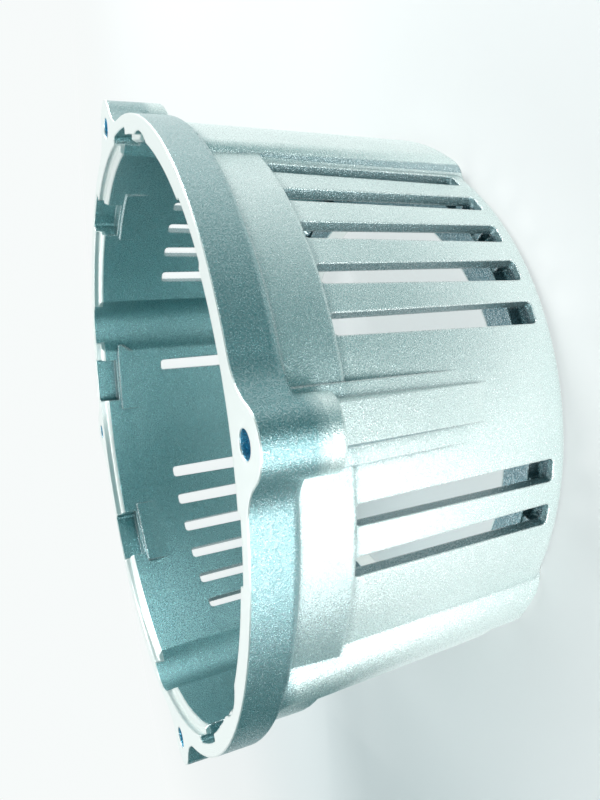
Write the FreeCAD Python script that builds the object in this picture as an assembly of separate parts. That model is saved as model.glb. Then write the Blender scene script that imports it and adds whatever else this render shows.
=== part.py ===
import FreeCAD, Part
import os
from math import acos, cos, degrees, radians, sin, sqrt, tan
from FreeCAD import Vector

# Stator bracket of a small generator: one die-cast drum, open at both ends.
# It stands on its rear end, with the axis along Z and the machined mouth on top.
# Depths are read down from the mouth. Angles are read from the front ear (at -Y),
# anticlockwise as seen from the mouth. The radii are built up outward from the engine's
# pilot. All sizes are in millimetres and degrees.

# Whole length, and the stator seat in the mouth
height = 96.0
seat_depth = 2.0
seat_land = 1.3
seat_chamfer = 1.2

# Flange band round the mouth
flange_width = 5.5
flange_depth = 12.0
flange_edge_round = 2.0

# Collar below the flange
collar_step = 4.2
collar_end = 28.0
collar_edge_round = 1.2
collar_root_round = 1.5

# Drum wall: it narrows from the collar towards the groove at the rear
wall = 3.0
wall_taper = 3.075
wall_step = 1.5
bore_step = 0.8
rim_round = 4.0

# Four ears with screw bosses
ear_count = 4
ear_offset = 8.5
ear_radius = 8.6
ear_blend = 14.0
ear_screw_radius = 3.0
ear_screw_clearance = 0.3
boss_depth = 21.5
boss_end_angle = 11.4
boss_blend = 3.0
boss_edge_round = 1.0

# Ramp and thin pad that run down the wall behind each boss
ramp_end = 67.0
ramp_height = 4.5
ramp_offset = 1.0
ramp_top_half = 4.8
ramp_flank = 1.9
pad_rise = 0.5
pad_offset_angle = 0.4
pad_half_angle = 5.6
pad_end = 61.0

# Round channels for the through bolts. A reach is how far a channel's bottom lies
# beyond the wall's outer face, at the mouth and at the rear.
channel_angles = (60.8, 79.5, 149.5, 254.5, 316.8)
channel_front_reach = (0.6, 0.6, 1.6, 1.6, 1.0)
channel_rear_reach = (2.1, 2.1, 2.1, 2.1, 1.3)
channel_radius = 15.0
channel_edge_round = 3.0
channel_floor = 10.0

# Bulges of the wall round three of the channels
bulge_angles = (149.5, 254.5, 317.0)
bulge_radius = (17.6, 17.6, 14.0)
bulge_front_rise = (4.2, 4.2, 4.4)
bulge_rear_rise = (4.7, 4.7, 3.9)
bulge_blend = 3.0
bulge_rear_round = 7.0

# Raised crown over the two upper channels
crown_start_angle = 48.2
crown_end_angle = 89.0
crown_front_rise = 3.2
crown_rear_rise = 4.7
crown_shoulder = 4.0
crown_blend = 3.0
crown_rear_round = 8.0

# Recesses cut out of the seat
notch_angles = (30.4, 78.2, 115.4, 165.5, 210.0, 294.3, 345.8)
notch_half_angles = (6.4, 5.6, 5.4, 5.8, 6.35, 6.0, 5.2)
notch_reach = (1.2, 2.2, 3.4, 3.4, 3.5, 1.9, 1.5)
notch_depth = 8.0
notch_corner = 1.2

# Thin ledges on the inside of the wall, below three of the recesses
ledge_angles = (113.7, 164.5, 210.3)
ledge_half_angles = (8.25, 9.5, 8.45)
ledge_depth = 9.0
ledge_end = 18.0
ledge_width = 0.8

# Air windows, in groups with an equal step
window_first_angles = (-21.0, 14.4, 109.6, 162.1, 194.4)
window_counts = (2, 5, 4, 1, 6)
window_step_angles = (8.2, 8.1, 8.35, 8.4, 8.4)
window_rim = 6.0
window_front_width = 5.6
window_rear_width = 7.4
window_flare = 0.15
window_end_slope = 0.2
window_corner = 1.4

# Rear end: pilot opening, mounting ring, groove with ribs, bolt bosses
pilot_spigot_radius = 73.025
pilot_clearance = 0.05
ring_width = 9.75
groove_width = 4.4
ring_depth = 7.4
groove_floor = 3.0
groove_round = 1.2
rib_width = 2.6
rib_drop = 0.8
engine_circle_offset = 9.525
engine_boss_radius = 9.0
engine_bolt_radius = 4.0
engine_bolt_clearance = 0.5

# Room that a cutter takes beyond the face that it leaves
over = 2.0

# How far a hollow blend dips under the surface that it runs out on. At the rear it goes
# deeper, so that it stays under the rounded rim.
blend_sink = 0.1
blend_rear_sink = 1.4

# How much larger than its corner a rounding at the rear is
round_gain = 0.2

# Sizes that follow
pilot_radius = pilot_spigot_radius + pilot_clearance
ring_radius = pilot_radius + ring_width
wall_rear_radius = ring_radius + groove_width + wall
wall_front_radius = wall_rear_radius + wall_taper
collar_radius = wall_front_radius + wall_step
flange_radius = collar_radius + collar_step
seat_radius = flange_radius - flange_width
ear_circle_radius = seat_radius + ear_offset
ear_hole_radius = ear_screw_radius + ear_screw_clearance
engine_circle_radius = pilot_spigot_radius + engine_circle_offset
engine_hole_radius = engine_bolt_radius + engine_bolt_clearance
bore_depth = seat_depth + seat_chamfer
bore_front_radius = seat_radius - seat_land - bore_step
channel_end = height - channel_floor
window_end = height - window_rim
ear_angles = tuple(360.0 / ear_count * k for k in range(ear_count))

ORIGIN = Vector(0, 0, 0)
UP = Vector(0, 0, 1)


def level(depth):
    """Height of a place that lies this deep below the mouth."""
    return height - depth


def between(start, end, share):
    return start + (end - start) * share


def wall_radius(depth):
    """Outer radius of the tapered drum wall."""
    share = (depth - collar_end) / (height - collar_end)
    return between(wall_front_radius, wall_rear_radius, share)


def inner_radius(depth):
    """Inner radius of the drum wall."""
    if depth > collar_end:
        return wall_radius(depth) - wall
    share = (depth - bore_depth) / (collar_end - bore_depth)
    return between(bore_front_radius, wall_front_radius - wall, share)


def blend_base(depth):
    """Radius under the wall's face that the blends of bulges and crown run out on."""
    return wall_radius(depth) - between(blend_sink, blend_rear_sink, depth / height)


def beyond_wall(front, rear, depth):
    """Radius that lies beyond the wall's outer face by one rise at the mouth and by
    another at the rear, along a straight line."""
    return between(wall_radius(0) + front, wall_radius(height) + rear, depth / height)


def at(angle, outward, sideways, z):
    """Point at an angle round the drum, given outward and sideways from the axis."""
    a = radians(angle)
    x = outward * sin(a) + sideways * cos(a)
    y = -outward * cos(a) + sideways * sin(a)
    return Vector(x, y, z)


def turned(shape, angle):
    """Copy of a shape that was built towards +X, turned to an angle round the drum."""
    copy = shape.copy()
    copy.rotate(ORIGIN, UP, angle - 90.0)
    return copy


def arc(start, middle, end):
    return Part.Arc(start, middle, end).toShape()


def line(start, end):
    return Part.LineSegment(start, end).toShape()


def polygon_face(points):
    """Flat face inside a closed run of straight lines."""
    return Part.Face(Part.makePolygon(list(points) + [points[0]]))


def in_section(radius, z):
    return Vector(radius, 0, z)


def round_corner(before, corner, after, radius):
    """Three points of the arc that rounds a corner of a section."""
    one = (before - corner).normalize()
    two = (after - corner).normalize()
    half = one.getAngle(two) / 2
    middle = (one + two).normalize()
    centre = corner + middle * (radius / sin(half))
    reach = radius / tan(half)
    return corner + one * reach, centre - middle * radius, corner + two * reach


def rounded_face(corners):
    """Face of a section whose corners are (point, radius), sharp where the radius is 0."""
    edges = []
    ends = []
    count = len(corners)
    for k, (point, radius) in enumerate(corners):
        if radius == 0:
            ends.append((point, point))
            continue
        before = corners[k - 1][0]
        after = corners[(k + 1) % count][0]
        start, middle, end = round_corner(before, point, after, radius)
        edges.append((k, arc(start, middle, end)))
        ends.append((start, end))
    arcs = dict(edges)
    run = []
    for k in range(count):
        if k in arcs:
            run.append(arcs[k])
        run.append(line(ends[k][1], ends[(k + 1) % count][0]))
    return Part.Face(Part.Wire(run))


def sector(face, start, end):
    """Section turned about the axis from one angle to another."""
    solid = face.revolve(ORIGIN, UP, end - start)
    return turned(solid, start)


def on_arc(centre, radius, start, end):
    """Middle point of the short arc between two points on a circle, as plain pairs."""
    x = (start[0] + end[0]) / 2 - centre[0]
    y = (start[1] + end[1]) / 2 - centre[1]
    size = sqrt(x ** 2 + y ** 2)
    return centre[0] + radius * x / size, centre[1] + radius * y / size


def lobe_points(base, centre, radius, blend):
    """Outline of a round lobe that blends into a circle about the axis: seven points
    (outward, sideways) of a hollow arc, the lobe's arc and the second hollow arc."""
    far = base + blend
    near = radius + blend
    x = (far ** 2 + centre ** 2 - near ** 2) / (2 * centre)
    y = sqrt(far ** 2 - x ** 2)
    foot = (base * x / far, base * y / far)
    side = (centre + radius * (x - centre) / near, radius * y / near)
    tip = (centre + radius, 0.0)
    upper = [foot, on_arc((x, y), blend, foot, side), side]
    lower = [(p[0], -p[1]) for p in upper]
    return lower + [tip] + upper[::-1]


def lobe_edges(points, angle, z):
    p = [at(angle, outward, sideways, z) for outward, sideways in points]
    return [arc(p[k], p[k + 1], p[k + 2]) for k in range(0, len(p) - 2, 2)]


def lobe_wire(points, angle, z):
    edges = lobe_edges(points, angle, z)
    last = at(angle, points[-1][0], points[-1][1], z)
    first = at(angle, points[0][0], points[0][1], z)
    return Part.Wire(edges + [line(last, first)])


def lobe_loft(outline, angle, front, rear):
    """Solid between the outlines at two depths."""
    wires = [lobe_wire(outline(depth), angle, level(depth)) for depth in (front, rear)]
    return Part.makeLoft(wires, True, True)


def edges_between(shape, low, high, beyond=0):
    """Edges that run from one height to the other and pass further out than a radius."""
    tiny = 0.01
    found = []
    for edge in shape.Edges:
        box = edge.BoundBox
        middle = edge.valueAt((edge.FirstParameter + edge.LastParameter) / 2)
        far_out = sqrt(middle.x ** 2 + middle.y ** 2) > beyond
        if abs(box.ZMin - low) < tiny and abs(box.ZMax - high) < tiny and far_out:
            found.append(edge)
    return found


def edges_at(shape, z, beyond=0):
    """Edges that lie flat at one height."""
    return edges_between(shape, z, z, beyond)


def flange():
    """Flat band round the mouth, with its outline running out round the four ears."""
    points = lobe_points(flange_radius, ear_circle_radius, ear_radius, ear_blend)
    edges = []
    for k, angle in enumerate(ear_angles):
        following = ear_angles[(k + 1) % ear_count]
        edges += lobe_edges(points, angle, height)
        start = at(angle, points[-1][0], points[-1][1], height)
        middle = at(angle + 180.0 / ear_count, flange_radius, 0, height)
        end = at(following, points[0][0], points[0][1], height)
        edges.append(arc(start, middle, end))
    plate = Part.Face(Part.Wire(edges)).extrude(Vector(0, 0, -flange_depth))
    return plate.makeFillet(flange_edge_round, edges_at(plate, level(flange_depth)))


def collar_and_wall():
    """Collar, tapered wall and rounded rear rim, solid for now."""
    top = flange_depth - over
    root = collar_radius + collar_root_round
    corners = [
        (in_section(0, level(top)), 0),
        (in_section(root, level(top)), 0),
        (in_section(root, level(flange_depth)), 0),
        (in_section(collar_radius, level(flange_depth + collar_root_round)), 0),
        (in_section(collar_radius, level(collar_end)), collar_edge_round),
        (in_section(wall_front_radius, level(collar_end)), 0),
        (in_section(wall_radius(height), 0), rim_round),
        (in_section(0, 0), 0),
    ]
    return rounded_face(corners).revolve(ORIGIN, UP, 360)


def boss(angle):
    """Screw boss that carries an ear on below the flange and ends on a slant."""
    base = collar_radius - blend_sink
    points = lobe_points(base, ear_circle_radius, ear_radius, boss_blend)
    top = level(flange_depth - over)
    bottom = level(boss_depth + over)
    solid = Part.Face(lobe_wire(points, 90.0, top)).extrude(Vector(0, 0, bottom - top))
    reach = ear_radius * 4
    rise = reach * tan(radians(boss_end_angle))
    corners = [
        Vector(collar_radius - reach, -reach, level(boss_depth) - rise),
        Vector(collar_radius + reach, -reach, level(boss_depth) + rise),
        Vector(collar_radius + reach, -reach, level(height)),
        Vector(collar_radius - reach, -reach, level(height)),
    ]
    solid = solid.cut(polygon_face(corners).extrude(Vector(0, 2 * reach, 0)))
    end = min(solid.Faces, key=lambda face: face.CenterOfMass.z)
    rounded = [edge for edge in end.Edges if edge.CenterOfMass.x > collar_radius]
    return turned(solid.makeFillet(boss_edge_round, rounded), angle)


def ramp(angle):
    """Wedge behind a boss that runs out on the wall."""
    sections = []
    sink = wall / 2
    start = boss_depth - over
    for depth in (start, ramp_end + 2 * over):
        rise = between(ramp_height, 0, (depth - start) / (ramp_end - start))
        outer = wall_radius(depth) + rise
        root = wall_radius(depth) - sink
        foot = ramp_top_half + ramp_flank * (rise + sink) / ramp_height
        z = level(depth)
        corners = ((root, -foot), (outer, -ramp_top_half), (outer, ramp_top_half), (root, foot))
        points = [at(angle, outward, sideways + ramp_offset, z) for outward, sideways in corners]
        sections.append(Part.makePolygon(points + [points[0]]))
    return Part.makeLoft(sections, True, True)


def pad(angle):
    """Thin raised pad on the collar behind an ear. It runs out on the wall."""
    front = flange_depth + collar_root_round
    start = collar_end - collar_edge_round
    end = pad_end + over
    share = (end - start) / (pad_end - start)
    points = [
        in_section(collar_radius - wall / 2, level(front)),
        in_section(collar_radius + pad_rise, level(front)),
        in_section(collar_radius + pad_rise, level(start)),
        in_section(between(collar_radius + pad_rise, wall_radius(pad_end), share), level(end)),
        in_section(wall_radius(end) - wall / 2, level(end)),
        in_section(wall_radius(collar_end) - wall / 2, level(collar_end)),
    ]
    middle = angle + pad_offset_angle
    return sector(polygon_face(points), middle - pad_half_angle, middle + pad_half_angle)


def around(radius, angle):
    """Outward and sideways distance of a place at an angle from the middle direction."""
    return radius * cos(radians(angle)), radius * sin(radians(angle))


def crown_outline(depth):
    """Half-hollow, half-round flanks on both sides of the crown's wide arc."""
    half_angle = (crown_end_angle - crown_start_angle) / 2
    top = beyond_wall(crown_front_rise, crown_rear_rise, depth)
    base = blend_base(depth)
    far = base + crown_blend
    near = top - crown_shoulder
    gap = crown_blend + crown_shoulder
    turn = degrees(acos((far ** 2 + near ** 2 - gap ** 2) / (2 * far * near)))
    hollow = around(far, half_angle)
    shoulder = around(near, half_angle - turn)
    share = crown_blend / gap
    side = [between(hollow[k], shoulder[k], share) for k in (0, 1)]
    foot = around(base, half_angle)
    start = around(top, half_angle - turn)
    upper = [foot, on_arc(hollow, crown_blend, foot, side), side]
    upper += [on_arc(shoulder, crown_shoulder, side, start), start]
    lower = [(p[0], -p[1]) for p in upper]
    return lower + [(top, 0.0)] + upper[::-1]


def rear_rounding(crest, corner):
    """Ring that cuts the rear corner round on everything out to a crest radius."""
    centre = in_section(crest - corner, corner)
    size = corner + round_gain
    short = sqrt(size ** 2 - corner ** 2)
    low = centre + Vector(short, 0, -corner)
    middle = centre + Vector(size * cos(radians(45)), 0, -size * sin(radians(45)))
    high = centre + Vector(corner, 0, -short)
    wide = high + Vector(over, 0, 0)
    outer = Vector(wide.x, 0, -over)
    inner = Vector(low.x, 0, -over)
    run = [arc(low, middle, high), line(high, wide), line(wide, outer), line(outer, inner)]
    return Part.Face(Part.Wire(run + [line(inner, low)])).revolve(ORIGIN, UP, 360)


def crown():
    """Broad raised part of the wall over the two upper channels."""
    middle_angle = (crown_start_angle + crown_end_angle) / 2
    solid = lobe_loft(crown_outline, middle_angle, flange_depth - over, height)
    crest = beyond_wall(crown_front_rise, crown_rear_rise, height)
    return solid.cut(rear_rounding(crest, crown_rear_round))


def bulge(number):
    """Bulge on the outside of the wall that makes room for a channel."""
    radius = bulge_radius[number]

    def outline(depth):
        top = beyond_wall(bulge_front_rise[number], bulge_rear_rise[number], depth)
        return lobe_points(blend_base(depth), top - radius, radius, bulge_blend)

    solid = lobe_loft(outline, bulge_angles[number], flange_depth - over, height)
    crest = beyond_wall(0, bulge_rear_rise[number], height)
    return solid.cut(rear_rounding(crest, bulge_rear_round))


def channel(number):
    """Cutter for a channel: a round hollow with rounded edges that leans in to the rear."""

    def outline(depth):
        bottom = beyond_wall(channel_front_reach[number], channel_rear_reach[number], depth)
        base = inner_radius(depth) - blend_sink
        return lobe_points(base, bottom - channel_radius, channel_radius, channel_edge_round)

    return lobe_loft(outline, channel_angles[number], -over, channel_end)


def outside():
    """Outer form of the casting, still solid inside."""
    pieces = [collar_and_wall(), crown()]
    pieces += [boss(angle) for angle in ear_angles]
    pieces += [ramp(angle) for angle in ear_angles]
    pieces += [pad(angle) for angle in ear_angles]
    pieces += [bulge(number) for number in range(len(bulge_angles))]
    return flange().fuse(pieces)


def inside_space():
    """Space inside the drum: seat, tapered bore, groove and pilot opening."""
    land_radius = seat_radius - seat_land
    corners = [
        (in_section(0, level(-over)), 0),
        (in_section(seat_radius, level(-over)), 0),
        (in_section(seat_radius, level(seat_depth)), 0),
        (in_section(land_radius, level(seat_depth)), 0),
        (in_section(bore_front_radius, level(bore_depth)), 0),
        (in_section(inner_radius(collar_end), level(collar_end)), 0),
        (in_section(inner_radius(level(groove_floor)), groove_floor), groove_round),
        (in_section(ring_radius, groove_floor), groove_round),
        (in_section(ring_radius, ring_depth), 0),
        (in_section(pilot_radius, ring_depth), 0),
        (in_section(pilot_radius, -over), 0),
        (in_section(0, -over), 0),
    ]
    return rounded_face(corners).revolve(ORIGIN, UP, 360)


def window_angles(group):
    """Angles of the windows in one group."""
    first = window_first_angles[group]
    return [first + window_step_angles[group] * k for k in range(window_counts[group])]


def rib_angles():
    """Angles of the groove's ribs: one beside each window, in line with the slats."""
    angles = []
    for group, step in enumerate(window_step_angles):
        angles += [angle - step / 2 for angle in window_angles(group)]
        angles.append(window_angles(group)[-1] + step / 2)
    return angles


def ledge(angle, half_angle):
    """Thin ledge on the inside of the wall that fades out downwards."""
    sink = wall / 2
    corners = (
        in_section(inner_radius(ledge_depth) + sink, level(ledge_depth)),
        in_section(inner_radius(ledge_depth) - ledge_width, level(ledge_depth)),
        in_section(inner_radius(ledge_end), level(ledge_end)),
        in_section(inner_radius(ledge_end) + sink, level(ledge_end)),
    )
    return sector(polygon_face(corners), angle - half_angle, angle + half_angle)


def rib(angle):
    """Small rib across the groove, from the mounting ring to the wall."""
    inner = ring_radius - wall / 2
    length = inner_radius(level(0)) + wall / 2 - inner
    rib_height = ring_depth - rib_drop
    block = Part.makeBox(length, rib_width, rib_height, Vector(inner, -rib_width / 2, 0))
    return turned(block, angle)


def engine_boss(angle):
    """Boss in the rear wall round an engine bolt hole."""
    foot = at(angle, engine_circle_radius, 0, 0)
    return Part.makeCylinder(engine_boss_radius, ring_depth, foot)


def window_wire(outward):
    """Outline of a window at a distance from the axis."""
    away = outward - wall_front_radius
    front = window_front_width / 2 + away * window_flare
    rear = window_rear_width / 2 + away * window_flare
    top = level(collar_end)
    bottom = level(window_end - (outward - wall_rear_radius) * window_end_slope)
    corners = ((-front, top), (front, top), (rear, bottom), (-rear, bottom))
    return rounded_face([(Vector(outward, y, z), window_corner) for y, z in corners]).OuterWire


def window(angle):
    """Cutter for one air window, wider towards the rear and outward."""
    inner = wall_rear_radius - wall * 1.5
    outer = wall_radius(0) + crown_rear_rise + over
    return turned(Part.makeLoft([window_wire(inner), window_wire(outer)], True, True), angle)


def notch(angle, half_angle, reach):
    """Cutter for a recess that opens the seat outward."""
    inner = inner_radius(notch_depth) - over
    outer = seat_radius + reach
    corners = (
        in_section(inner, level(notch_depth)),
        in_section(outer, level(notch_depth)),
        in_section(outer, level(-over)),
        in_section(inner, level(-over)),
    )
    solid = sector(polygon_face(corners), angle - half_angle, angle + half_angle)
    upright = edges_between(solid, level(notch_depth), level(-over), seat_radius)
    return solid.makeFillet(notch_corner, upright)


def hole(radius, circle_radius, angle, low, high):
    foot = at(angle, circle_radius, 0, low)
    return Part.makeCylinder(radius, high - low, foot)


def cutters():
    """Everything that is cut out of the walls."""
    groups = range(len(window_counts))
    shapes = [window(angle) for group in groups for angle in window_angles(group)]
    shapes += [channel(number) for number in range(len(channel_angles))]
    shapes += [notch(*sizes) for sizes in zip(notch_angles, notch_half_angles, notch_reach)]
    for angle in ear_angles:
        low = level(boss_depth + over)
        shapes.append(hole(ear_hole_radius, ear_circle_radius, angle, low, level(-over)))
        high = ring_depth + over
        shapes.append(hole(engine_hole_radius, engine_circle_radius, angle, -over, high))
    return shapes


def stator_bracket():
    """The whole casting as one solid."""
    kept = [rib(angle) for angle in rib_angles()]
    kept += [engine_boss(angle) for angle in ear_angles]
    kept += [ledge(*sizes) for sizes in zip(ledge_angles, ledge_half_angles)]
    space = inside_space().cut(kept)
    casting = outside().cut(space).cut(cutters())
    return casting.removeSplitter()


os.makedirs("parts", exist_ok=True)
bracket = stator_bracket()
bracket.exportStep("parts/stator_bracket.step")
print("solids", len(bracket.Solids), "valid", bracket.isValid())
print("volume cm3", round(bracket.Volume / 1000, 1), "box", bracket.BoundBox)
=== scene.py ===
import bpy
from math import pi
from mathutils import Matrix, Vector

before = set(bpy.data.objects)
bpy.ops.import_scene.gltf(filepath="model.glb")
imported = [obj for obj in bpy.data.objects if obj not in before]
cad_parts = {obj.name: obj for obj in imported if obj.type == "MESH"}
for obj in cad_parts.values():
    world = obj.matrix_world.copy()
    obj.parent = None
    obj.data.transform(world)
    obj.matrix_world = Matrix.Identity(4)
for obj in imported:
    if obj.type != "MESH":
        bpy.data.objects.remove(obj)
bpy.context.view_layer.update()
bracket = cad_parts["stator_bracket"]
scene = bpy.context.scene

# Sizes of the drum that its finishes follow, in metres. Heights are above the rear face.
MOUTH_HEIGHT = 0.096
SEAT_RADIUS = 0.0935
SEAT_BOTTOM = 0.0925
FLANGE_BOTTOM = 0.084
COLLAR_BOTTOM = 0.068
COLLAR_RADIUS = 0.0948
BOSS_BOTTOM = 0.0745
PILOT_RADIUS = 0.0731
WALL_REAR_RADIUS = 0.0902
WALL_SPREAD = 0.0452
GROOVE_TOP = 0.0085
EAR_CIRCLE = 0.102
EAR_HOLE = 0.0033
EAR_HOLE_BOTTOM = 0.07

# How far a zone reaches beyond its faces, and over what length a band fades, in metres
HAIR = 0.0003
BAND_FADE = 0.003

# Places across the drum, measured towards the side that the crown is on, in metres. The
# collar is dark up to the first and light beyond the second: painted shade that lifts
# towards the lit crown side. The painted shade in hollows starts to lighten at the third
# and is light beyond the fourth.
COLLAR_SHADED_UP_TO = 0.01
COLLAR_LIT_FROM = 0.075
CROWN_START = 0.06
CROWN_FULL = 0.085

# Shares of the band's dark tone on the collar and, above it, on the flange. The tone is
# partly the coarser, darker cast skin there and partly painted shade.
COLLAR_SHARE = 0.35
FLANGE_SHARE = 0.65

# Finishes of the drum: colours, and how much of each dark tone its zone takes. The zones'
# dark tones are painted shade, laid over a darker cast skin on the band and inside.
SKIN_COLOURS = ((0.74, 0.89, 0.87, 1), (0.82, 0.95, 0.93, 1))
MACHINED_COLOUR = (0.84, 0.90, 0.88, 1)
FLECK_COLOUR = (0.93, 0.97, 0.97, 1)
# Colour of corners, lightened partly by wear and partly as a painted highlight
CORNER_WEAR_HIGHLIGHT_COLOUR = (0.92, 0.96, 0.96, 1)
# Colour of the painted shade in hollows
HOLLOW_SHADE_COLOUR = (0.10, 0.20, 0.22, 1)
PIT_COLOUR = (0.10, 0.14, 0.15, 1)
ZONE_TONES = (
    # Band: the flange's and collar's coarser, darker cast skin, deepened with painted shade
    ("Band", 0.92, (0.17, 0.36, 0.38, 1)),
    # Inside: the duller as-cast inner skin, darkened further with painted shade
    ("Inside", 0.95, (0.22, 0.44, 0.46, 1)),
    # Hole: painted shade, tinted blue, on the walls of the ear holes
    ("HoleShade", 0.9, (0.10, 0.55, 0.80, 1)),
    # Cheek: painted shade on the side walls of the air windows
    ("CheekShade", 0.9, (0.13, 0.24, 0.26, 1)),
    # Lee: painted shade on the flanks behind the bosses that face away from the light
    ("LeeShade", 0.7, (0.13, 0.26, 0.30, 1)),
    # Groove: painted shade in the deep groove at the rear
    ("GrooveShade", 0.9, (0.07, 0.15, 0.18, 1)),
)
ZONE_NAMES = ("Machined", "Band", "Crown", "Inside", "HoleShade", "CheekShade", "LeeShade", "GrooveShade")

# Shares of the other tones: painted shade in hollows away from the crown and on its side,
# flecks of grain outside and inside the drum, corners lightened by wear and a painted
# highlight, and pits
HOLLOW_SHADE_SHARES = (0.85, 0.2)
FLECK_SHARES = (0.32, 0.07)
CORNER_WEAR_HIGHLIGHT_SHARE = 0.6
PIT_SHARE = 0.8

# Texture: scales are per metre, and the spacing, the corners' rounding, the reach of the
# hollows' painted shade and the grain's depth are in metres
CLOUD_SCALE = 28.0
GRAIN_SCALE = 2600.0
PATCH_SCALE = 55.0
PIT_SCALE = 70.0
TURNED_SPACING = 0.00045
TURNED_SHARE = 0.12
CORNER_ROUND = 0.0008
HOLLOW_SHADE_REACH = 0.0025
GRAIN_DEPTH = 0.00031

# How dull the metal is between its flecks and on them, and where it is machined
SKIN_ROUGHNESS = (0.32, 0.2)
MACHINED_ROUGHNESS = 0.3
METAL_SHARE = 0.8

# Studio: the point that the lamps look at, each lamp's name, place, width and power, and
# the colours
DRUM_MIDDLE = Vector((0.0, 0.0, 0.05))
LAMPS = (
    ("lamp_over_mouth", (-0.2, 0.35, 0.95), 0.7, 3.8),
    ("lamp_upper_side", (0.85, 0.15, 0.5), 0.4, 8.0),
    ("lamp_lower_front", (-0.2, -0.42, 0.06), 0.22, 1.6),
)
BACKDROP_COLOUR = (0.93, 0.96, 0.955, 1)
FILL_COLOUR = (0.15, 0.25, 0.26, 1)
FLOOR_COLOUR = (0.90, 0.90, 0.90, 1)
CARD_COLOUR = (0.01, 0.13, 0.14, 1)
CARD_LIFT = 0.001

# The drum stands on its rear end. The camera is turned on its side, because the
# photograph shows the drum lying down with its mouth at the left.
CAMERA_PLACE = Vector((0.00998, -0.22785, 0.13876))
CAMERA_RIGHT = Vector((-0.117907, -0.403401, -0.907395))
CAMERA_UP = Vector((0.992839, -0.030209, -0.115579))
CAMERA_LENS = 30.584

# Floor: the place where the drum's shadow shows most, at the lower edge of the picture,
# and the distances from it, and from the drum, over which the floor turns pale
SHADOW_SIDE = (-0.17, 0.06, 0.0)
SHADOW_FADE = (0.05, 0.26)
FLOOR_FADE = (0.2, 0.8)


def place_camera():
    data = bpy.data.cameras.new("camera")
    data.lens = CAMERA_LENS
    data.clip_start = 0.01
    camera = bpy.data.objects.new("camera", data)
    scene.collection.objects.link(camera)
    back = CAMERA_RIGHT.cross(CAMERA_UP).normalized()
    up = back.cross(CAMERA_RIGHT).normalized()
    turn = Matrix((CAMERA_RIGHT.normalized(), up, back)).transposed().to_4x4()
    camera.matrix_world = Matrix.Translation(CAMERA_PLACE) @ turn
    scene.camera = camera


# Small helpers for node trees

def add(tree, kind, **settings):
    node = tree.nodes.new(kind)
    for name, value in settings.items():
        setattr(node, name, value)
    return node


def feed(tree, value, socket):
    """Link an output to a socket, or set a plain number or colour on it."""
    if isinstance(value, bpy.types.NodeSocket):
        tree.links.new(value, socket)
    else:
        socket.default_value = value


def sums(tree, operation, *values):
    node = add(tree, "ShaderNodeMath", operation=operation)
    for value, socket in zip(values, node.inputs):
        feed(tree, value, socket)
    return node.outputs[0]


def ramp_between(tree, value, low, high, start=0.0, end=1.0):
    """Smooth change from start to end while a value goes from low to high."""
    node = add(tree, "ShaderNodeMapRange", interpolation_type="SMOOTHSTEP")
    for entry, socket in zip((value, low, high, start, end), node.inputs):
        feed(tree, entry, socket)
    return node.outputs[0]


def blend_colours(tree, share, one, two):
    node = add(tree, "ShaderNodeMix", data_type="RGBA")
    feed(tree, share, node.inputs[0])
    feed(tree, one, node.inputs[6])
    feed(tree, two, node.inputs[7])
    return node.outputs[2]


def blend_values(tree, share, one, two):
    node = add(tree, "ShaderNodeMix", data_type="FLOAT")
    for value, socket in zip((share, one, two), (node.inputs[0], node.inputs[2], node.inputs[3])):
        feed(tree, value, socket)
    return node.outputs[0]


def noise(tree, place, scale, detail=2.0, roughness=0.5):
    node = add(tree, "ShaderNodeTexNoise")
    feed(tree, place, node.inputs["Vector"])
    feed(tree, scale, node.inputs["Scale"])
    node.inputs["Detail"].default_value = detail
    node.inputs["Roughness"].default_value = roughness
    return node.outputs["Fac"]


def new_group(name, inputs, outputs):
    """Node group with named inputs (name, kind, value) and outputs (name, kind)."""
    tree = bpy.data.node_groups.new(name, "ShaderNodeTree")
    for label, kind, value in inputs:
        socket = tree.interface.new_socket(label, in_out="INPUT", socket_type="NodeSocket" + kind)
        if value is not None:
            socket.default_value = value
    for label, kind in outputs:
        tree.interface.new_socket(label, in_out="OUTPUT", socket_type="NodeSocket" + kind)
    return tree, add(tree, "NodeGroupInput"), add(tree, "NodeGroupOutput")


def place_group(tree, group, **values):
    node = add(tree, "ShaderNodeGroup")
    node.node_tree = group
    for name, value in values.items():
        feed(tree, value, node.inputs[name])
    return node


def off_axis(tree, place):
    """Parts of a place, the same place with no height, and its distance from the axis."""
    parts = add(tree, "ShaderNodeSeparateXYZ")
    tree.links.new(place, parts.inputs[0])
    flat = add(tree, "ShaderNodeCombineXYZ")
    tree.links.new(parts.outputs[0], flat.inputs[0])
    tree.links.new(parts.outputs[1], flat.inputs[1])
    length = add(tree, "ShaderNodeVectorMath", operation="LENGTH")
    tree.links.new(flat.outputs[0], length.inputs[0])
    return parts.outputs, flat.outputs[0], length.outputs["Value"]


# Effects that the finishes are made of

def blast_grain_group():
    """Fine grain that shot blasting leaves on a cast skin."""
    tree, into, out = new_group(
        "blast_grain",
        [("Place", "Vector", None), ("Grain", "Float", 1500.0), ("Patch", "Float", 60.0)],
        [("Height", "Float"), ("Fleck", "Float")],
    )
    place = into.outputs["Place"]
    coarse = noise(tree, place, into.outputs["Grain"], 3.0, 0.7)
    fine = noise(tree, place, sums(tree, "MULTIPLY", into.outputs["Grain"], 2.3), 1.0)
    soft = noise(tree, place, into.outputs["Patch"], 3.0)
    height = sums(tree, "ADD", coarse, sums(tree, "MULTIPLY", fine, 0.4))
    height = sums(tree, "ADD", height, sums(tree, "MULTIPLY", soft, 0.5))
    tree.links.new(height, out.inputs["Height"])
    tree.links.new(ramp_between(tree, coarse, 0.42, 0.62), out.inputs["Fleck"])
    return tree


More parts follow.
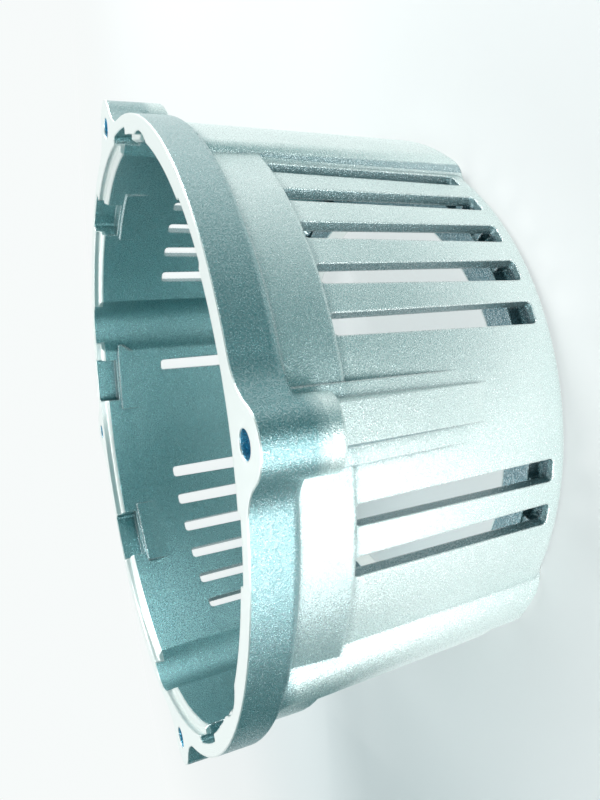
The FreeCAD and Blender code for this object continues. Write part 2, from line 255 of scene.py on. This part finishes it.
def turned_lines_group():
    """Fine rings that a lathe tool leaves, about the drum's axis."""
    tree, into, out = new_group(
        "turned_lines",
        [("Place", "Vector", None), ("Spacing", "Float", 0.0004)],
        [("Height", "Float")],
    )
    parts, _, radius = off_axis(tree, into.outputs["Place"])
    turns = sums(tree, "DIVIDE", sums(tree, "ADD", radius, parts[2]), into.outputs["Spacing"])
    wave = sums(tree, "SINE", sums(tree, "MULTIPLY", turns, 2 * pi))
    uneven = noise(tree, into.outputs["Place"], 220.0, 2.0)
    tree.links.new(sums(tree, "MULTIPLY", wave, uneven), out.inputs["Height"])
    return tree


def soft_corner_group():
    """Normal that rounds sharp corners a little, and masks of those corners, for wear and a painted
    highlight, and of hollows, for painted shade.
    """
    tree, into, out = new_group(
        "soft_corner",
        [("Round", "Float", 0.0006), ("Reach", "Float", 0.005)],
        [("Normal", "Vector"), ("CornerWearHighlight", "Float"), ("HollowShade", "Float")],
    )
    bevel = add(tree, "ShaderNodeBevel", samples=4)
    tree.links.new(into.outputs["Round"], bevel.inputs["Radius"])
    surface = add(tree, "ShaderNodeNewGeometry")
    likeness = add(tree, "ShaderNodeVectorMath", operation="DOT_PRODUCT")
    tree.links.new(bevel.outputs[0], likeness.inputs[0])
    tree.links.new(surface.outputs["Normal"], likeness.inputs[1])
    # Corners: rubbed by wear and given a painted highlight
    corner = ramp_between(tree, likeness.outputs["Value"], 0.98, 0.75)
    tree.links.new(bevel.outputs[0], out.inputs["Normal"])
    tree.links.new(corner, out.inputs["CornerWearHighlight"])
    # Painted shade in hollows and inner corners, by how closed in each point is
    shade = add(tree, "ShaderNodeAmbientOcclusion", samples=4, only_local=True)
    tree.links.new(into.outputs["Reach"], shade.inputs["Distance"])
    tree.links.new(ramp_between(tree, shade.outputs["AO"], 0.92, 0.6), out.inputs["HollowShade"])
    return tree


def drum_zones_group():
    """Masks of places on the drum: machined faces, the flange band with the collar, the side
    that the crown is on, the inside, the ear holes, the cheeks of the air windows, the flanks
    that face away behind the bosses, and the deep groove at the rear. The band, inside, hole,
    cheek, flank and groove masks carry painted shade, over a darker skin on the band and
    inside, and the collar's shade lifts towards the lit crown side."""
    tree, into, out = new_group(
        "drum_zones",
        [("Place", "Vector", None), ("Facing", "Vector", None)],
        [(name, "Float") for name in ZONE_NAMES],
    )
    parts, flat, radius = off_axis(tree, into.outputs["Place"])
    height = parts[2]
    outward = add(tree, "ShaderNodeVectorMath", operation="NORMALIZE")
    tree.links.new(flat, outward.inputs[0])
    aim = add(tree, "ShaderNodeVectorMath", operation="DOT_PRODUCT")
    tree.links.new(outward.outputs[0], aim.inputs[0])
    tree.links.new(into.outputs["Facing"], aim.inputs[1])
    facing_out = aim.outputs["Value"]

    mouth = sums(tree, "GREATER_THAN", height, MOUTH_HEIGHT - HAIR)
    within_seat = sums(tree, "LESS_THAN", radius, SEAT_RADIUS + HAIR)
    above_seat = sums(tree, "GREATER_THAN", height, SEAT_BOTTOM)
    seat = sums(tree, "MULTIPLY", within_seat, above_seat)
    pilot = sums(tree, "LESS_THAN", radius, PILOT_RADIUS + HAIR)
    rear = sums(tree, "LESS_THAN", height, HAIR)
    front_faces = sums(tree, "MAXIMUM", mouth, seat)
    machined = sums(tree, "MAXIMUM", front_faces, sums(tree, "MAXIMUM", pilot, rear))
    tree.links.new(machined, out.inputs["Machined"])

    collar_start, collar_full = COLLAR_BOTTOM - BAND_FADE, COLLAR_BOTTOM + 0.002
    flange_start, flange_full = FLANGE_BOTTOM - BAND_FADE, FLANGE_BOTTOM + 0.001
    collar = ramp_between(tree, height, collar_start, collar_full, 0.0, COLLAR_SHARE)
    flange = ramp_between(tree, height, flange_start, flange_full, 0.0, FLANGE_SHARE)
    on_collar = sums(tree, "LESS_THAN", radius, COLLAR_RADIUS + 0.001)
    on_band = sums(tree, "MAXIMUM", on_collar, sums(tree, "GREATER_THAN", flange, 0.0))
    collar = sums(tree, "MULTIPLY", collar, on_band)
    crown_side = parts[0]
    # Painted light and shade: the collar's dark tone fades towards the lit crown side
    collar_painted_shade = ramp_between(tree, crown_side, COLLAR_LIT_FROM, COLLAR_SHADED_UP_TO, 0.2, 1.15)
    collar = sums(tree, "MULTIPLY", collar, collar_painted_shade)
    tree.links.new(sums(tree, "ADD", collar, flange), out.inputs["Band"])
    tree.links.new(ramp_between(tree, crown_side, CROWN_START, CROWN_FULL), out.inputs["Crown"])
    # Inside: faces turned towards the axis, whose dark tone is partly painted shade
    tree.links.new(ramp_between(tree, facing_out, 0.0, -0.4), out.inputs["Inside"])

    # Painted shade on the cheeks of the air windows, the faces that look round the drum inside the
    # wall
    sideways = ramp_between(tree, sums(tree, "ABSOLUTE", facing_out), 0.75, 0.5)
    wall = sums(tree, "MULTIPLY_ADD", height, WALL_SPREAD, WALL_REAR_RADIUS - HAIR)
    in_wall = sums(tree, "LESS_THAN", radius, wall)
    below_collar = sums(tree, "LESS_THAN", height, COLLAR_BOTTOM + HAIR)
    cheek_shade = sums(tree, "MULTIPLY", sums(tree, "MULTIPLY", sideways, in_wall), below_collar)
    tree.links.new(cheek_shade, out.inputs["CheekShade"])

    # Painted shade on flanks outside the wall, below the bosses, that face one way round the drum,
    # away from the light
    beyond = sums(tree, "GREATER_THAN", radius, sums(tree, "ADD", wall, 3 * HAIR))
    round_way = add(tree, "ShaderNodeVectorMath", operation="CROSS_PRODUCT")
    tree.links.new(outward.outputs[0], round_way.inputs[0])
    tree.links.new(into.outputs["Facing"], round_way.inputs[1])
    turn = add(tree, "ShaderNodeSeparateXYZ")
    tree.links.new(round_way.outputs[0], turn.inputs[0])
    lee_shade = ramp_between(tree, turn.outputs[2], -0.8, -0.9)
    behind_boss = sums(tree, "MULTIPLY", beyond, sums(tree, "LESS_THAN", height, BOSS_BOTTOM))
    tree.links.new(sums(tree, "MULTIPLY", lee_shade, behind_boss), out.inputs["LeeShade"])

    # Painted shade, tinted blue, on the walls of the ear holes
    across = sums(tree, "ABSOLUTE", parts[0])
    along = sums(tree, "ABSOLUTE", parts[1])
    beside = sums(tree, "MINIMUM", across, along)
    off_ear = sums(tree, "SUBTRACT", sums(tree, "MAXIMUM", across, along), EAR_CIRCLE)
    square = sums(tree, "ADD", sums(tree, "POWER", off_ear, 2.0), sums(tree, "POWER", beside, 2.0))
    near_hole = sums(tree, "LESS_THAN", square, (EAR_HOLE + HAIR) ** 2)
    above = sums(tree, "GREATER_THAN", height, EAR_HOLE_BOTTOM)
    tree.links.new(sums(tree, "MULTIPLY", near_hole, above), out.inputs["HoleShade"])

    # Painted shade in the deep groove at the rear
    in_groove = sums(tree, "LESS_THAN", height, GROOVE_TOP)
    inner = sums(tree, "LESS_THAN", radius, WALL_REAR_RADIUS - 0.002)
    tree.links.new(sums(tree, "MULTIPLY", in_groove, inner), out.inputs["GrooveShade"])
    return tree


def pits_group():
    """Few small pits of a casting."""
    tree, into, out = new_group(
        "casting_pits",
        [("Place", "Vector", None), ("Scale", "Float", 90.0)],
        [("Pit", "Float")],
    )
    cells = add(tree, "ShaderNodeTexVoronoi")
    tree.links.new(into.outputs["Place"], cells.inputs["Vector"])
    tree.links.new(into.outputs["Scale"], cells.inputs["Scale"])
    pit = ramp_between(tree, cells.outputs["Distance"], 0.045, 0.02)
    pick = add(tree, "ShaderNodeSeparateColor")
    tree.links.new(cells.outputs["Color"], pick.inputs[0])
    rare = sums(tree, "GREATER_THAN", pick.outputs[0], 0.8)
    tree.links.new(sums(tree, "MULTIPLY", pit, rare), out.inputs["Pit"])
    return tree


def cast_aluminium():
    """Shot-blasted casting with machined faces at the mouth, seat, pilot and rear, with painted
    shade in its zones and hollows and a painted highlight on its corners.
    """
    material = bpy.data.materials.new("cast_aluminium")
    material.use_nodes = True
    tree = material.node_tree
    shader = tree.nodes["Principled BSDF"]
    where = add(tree, "ShaderNodeTexCoord")
    place = where.outputs["Object"]
    facing = where.outputs["Normal"]
    zones = place_group(tree, drum_zones_group(), Place=place, Facing=facing)
    grain = place_group(tree, blast_grain_group(), Place=place, Grain=GRAIN_SCALE, Patch=PATCH_SCALE)
    lines = place_group(tree, turned_lines_group(), Place=place, Spacing=TURNED_SPACING)
    corner = place_group(tree, soft_corner_group(), Round=CORNER_ROUND, Reach=HOLLOW_SHADE_REACH)
    pits = place_group(tree, pits_group(), Place=place, Scale=PIT_SCALE)
    machined = zones.outputs["Machined"]

    cloud = noise(tree, place, CLOUD_SCALE, 3.0)
    skin = blend_colours(tree, ramp_between(tree, cloud, 0.3, 0.7), *SKIN_COLOURS)
    # Zone tones: a darker skin on the band and inside, and painted shade in the zones
    for zone, share, tone in ZONE_TONES:
        skin = blend_colours(tree, sums(tree, "MULTIPLY", zones.outputs[zone], share), skin, tone)
    fleck = grain.outputs["Fleck"]
    # Painted shade in hollows, weaker on the lit crown side
    hollow_shade_share = ramp_between(tree, zones.outputs["Crown"], 0.0, 1.0, *HOLLOW_SHADE_SHARES)
    fleck_share = ramp_between(tree, zones.outputs["Inside"], 0.0, 1.0, *FLECK_SHARES)
    for mask, share, tone in (
        (corner.outputs["HollowShade"], hollow_shade_share, HOLLOW_SHADE_COLOUR),
        (fleck, fleck_share, FLECK_COLOUR),
        # Corners lightened by wear and a painted highlight
        (corner.outputs["CornerWearHighlight"], CORNER_WEAR_HIGHLIGHT_SHARE, CORNER_WEAR_HIGHLIGHT_COLOUR),
        (pits.outputs["Pit"], PIT_SHARE, PIT_COLOUR),
    ):
        skin = blend_colours(tree, sums(tree, "MULTIPLY", mask, share), skin, tone)
    colour = blend_colours(tree, machined, skin, MACHINED_COLOUR)
    tree.links.new(colour, shader.inputs["Base Color"])

    rough_skin = ramp_between(tree, fleck, 0.0, 1.0, *SKIN_ROUGHNESS)
    roughness = blend_values(tree, machined, rough_skin, MACHINED_ROUGHNESS)
    tree.links.new(roughness, shader.inputs["Roughness"])
    shader.inputs["Metallic"].default_value = METAL_SHARE

    cast_height = sums(tree, "SUBTRACT", grain.outputs["Height"], pits.outputs["Pit"])
    turned_height = sums(tree, "MULTIPLY", lines.outputs["Height"], TURNED_SHARE)
    bump = add(tree, "ShaderNodeBump")
    bump.inputs["Strength"].default_value = 0.5
    bump.inputs["Distance"].default_value = GRAIN_DEPTH
    tree.links.new(blend_values(tree, machined, cast_height, turned_height), bump.inputs["Height"])
    tree.links.new(corner.outputs["Normal"], bump.inputs["Normal"])
    tree.links.new(bump.outputs[0], shader.inputs["Normal"])
    return material


def backdrop_rays(tree):
    """One for rays that show the background: seen, mirrored or through glass."""
    rays = add(tree, "ShaderNodeLightPath")
    seen = sums(tree, "MAXIMUM", rays.outputs["Is Camera Ray"], rays.outputs["Is Glossy Ray"])
    return sums(tree, "MAXIMUM", seen, rays.outputs["Is Transmission Ray"])


def area_lamp(name, place, size, power):
    """White round lamp that looks at the middle of the drum."""
    data = bpy.data.lights.new(name, "AREA")
    data.shape = "DISK"
    data.size = size
    data.energy = power
    lamp = bpy.data.objects.new(name, data)
    lamp.location = place
    way = DRUM_MIDDLE - Vector(place)
    lamp.rotation_euler = way.to_track_quat("-Z", "Y").to_euler()
    lamp.visible_camera = False
    scene.collection.objects.link(lamp)


def light_studio():
    for lamp in LAMPS:
        area_lamp(*lamp)
    world = bpy.data.worlds.new("studio")
    world.use_nodes = True
    scene.world = world
    tree = world.node_tree
    background = tree.nodes["Background"]
    share = backdrop_rays(tree)
    colour = blend_colours(tree, share, FILL_COLOUR, BACKDROP_COLOUR)
    tree.links.new(colour, background.inputs["Color"])


def pale_floor():
    """Plain pale surface that keeps the drum's shadow and fades into the background."""
    material = bpy.data.materials.new("pale_floor")
    material.use_nodes = True
    tree = material.node_tree
    shader = tree.nodes["Principled BSDF"]
    shader.inputs["Base Color"].default_value = FLOOR_COLOUR
    shader.inputs["Roughness"].default_value = 0.8
    glow = add(tree, "ShaderNodeEmission")
    glow.inputs["Color"].default_value = BACKDROP_COLOUR
    where = add(tree, "ShaderNodeTexCoord")
    length = add(tree, "ShaderNodeVectorMath", operation="LENGTH")
    tree.links.new(where.outputs["Object"], length.inputs[0])
    far = ramp_between(tree, length.outputs["Value"], *FLOOR_FADE, 0.55, 1.0)
    distance = add(tree, "ShaderNodeVectorMath", operation="DISTANCE")
    tree.links.new(where.outputs["Object"], distance.inputs[0])
    distance.inputs[1].default_value = SHADOW_SIDE
    off_shadow = ramp_between(tree, distance.outputs["Value"], *SHADOW_FADE)
    pale = sums(tree, "MULTIPLY", far, off_shadow)
    rays = add(tree, "ShaderNodeLightPath")
    mirrored = sums(tree, "MULTIPLY", rays.outputs["Is Glossy Ray"], 0.9)
    share = sums(tree, "MAXIMUM", mirrored, sums(tree, "MULTIPLY", pale, backdrop_rays(tree)))
    mix = add(tree, "ShaderNodeMixShader")
    tree.links.new(share, mix.inputs[0])
    tree.links.new(shader.outputs[0], mix.inputs[1])
    tree.links.new(glow.outputs[0], mix.inputs[2])
    tree.links.new(mix.outputs[0], tree.nodes["Material Output"].inputs["Surface"])
    return material


def flat_sheet(name, corners, material):
    mesh = bpy.data.meshes.new(name)
    mesh.from_pydata(corners, [], [tuple(range(len(corners)))])
    sheet = bpy.data.objects.new(name, mesh)
    scene.collection.objects.link(sheet)
    mesh.materials.append(material)
    return sheet


def lay_floor():
    half = 8.0
    corners = [(-half, -half, 0), (half, -half, 0), (half, half, 0), (-half, half, 0)]
    flat_sheet("floor", corners, pale_floor())


def dark_card():
    """Dull dark sheet that gives the metal something dark to mirror."""
    material = bpy.data.materials.new("dark_card")
    material.use_nodes = True
    shader = material.node_tree.nodes["Principled BSDF"]
    shader.inputs["Base Color"].default_value = CARD_COLOUR
    shader.inputs["Roughness"].default_value = 0.9
    return material


def lying(outline):
    """Corners of a card that lies just over the floor."""
    return [(x, y, CARD_LIFT) for x, y in outline]


def standing(one, two, top):
    """Corners of a card that stands between two points of the floor, up to a height."""
    return [(*one, CARD_LIFT), (*two, CARD_LIFT), (*two, top), (*one, top)]


def set_up_cards():
    """Dark cards beside the drum that only show in what the metal mirrors: one lies on the
    floor and one stands on each of two sides, and one more lies at the foot of the second."""
    material = dark_card()
    near_edge = [(0.015, -0.116), (-0.04, -0.35), (-0.14, -0.8)]
    far_edge = [(0.8, -0.8), (0.8, -0.28), (0.36, -0.14), (0.13, -0.116)]
    foot = [(-0.17, -0.2), (-0.16, 0.1), (-0.28, 0.12), (-0.26, -0.22)]
    cards = {
        "card_on_floor": lying(near_edge + far_edge),
        "card_upright": standing((-0.05, -0.55), (0.62, -0.36), 0.7),
        "card_lower": standing((-0.26, -0.22), (-0.28, 0.12), 0.35),
        "card_foot": lying(foot),
    }
    for name, corners in cards.items():
        sheet = flat_sheet(name, corners, material)
        sheet.visible_camera = False
        sheet.visible_diffuse = False
        sheet.visible_shadow = False


bracket.data.materials.clear()
bracket.data.materials.append(cast_aluminium())
place_camera()
light_studio()
lay_floor()
set_up_cards()
scene.view_settings.view_transform = "Standard"
